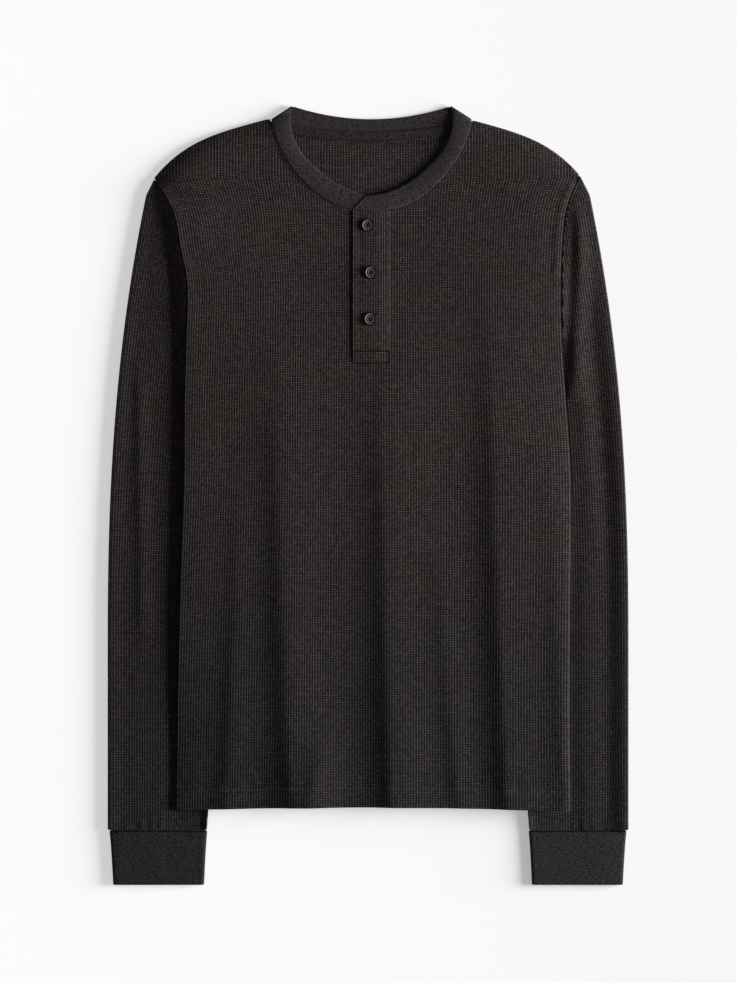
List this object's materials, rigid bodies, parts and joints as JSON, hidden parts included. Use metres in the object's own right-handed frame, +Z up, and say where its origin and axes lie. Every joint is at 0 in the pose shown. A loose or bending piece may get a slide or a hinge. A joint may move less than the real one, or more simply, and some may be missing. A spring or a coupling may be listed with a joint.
{
  "type": "waffle-knit henley thermal top",
  "caption": "Long-sleeved waffle-knit henley laid flat, with a rib neckband, a buttoned placket, rib cuffs and the sleeves folded in under the body.",
  "frame": {"origin": "on the floor under the middle of the laid-out shirt", "axes": "+Z up off the floor, the collar towards +Y, the hem and cuffs towards -Y, the viewer's right towards +X"},
  "size_m": [0.521, 0.7795, 0.0201],
  "materials": {
    "waffle_knit": "charcoal heather waffle knit, matt and dry",
    "fine_rib": "charcoal heather fine rib, matt",
    "twill_tape": "dark twill tape, matt",
    "button": "near-black matt plastic, four holes"
  },
  "bodies": {
    "root": {"front": "waffle_knit", "back": "waffle_knit", "sleeve_left": "waffle_knit", "sleeve_right": "waffle_knit", "placket_top": "waffle_knit", "placket_under": "waffle_knit", "cuff_left": "fine_rib", "cuff_right": "fine_rib", "neckband": "fine_rib", "neck_tape": "twill_tape", "button_1": "button", "button_2": "button", "button_3": "button"}
  },
  "joints": []
}
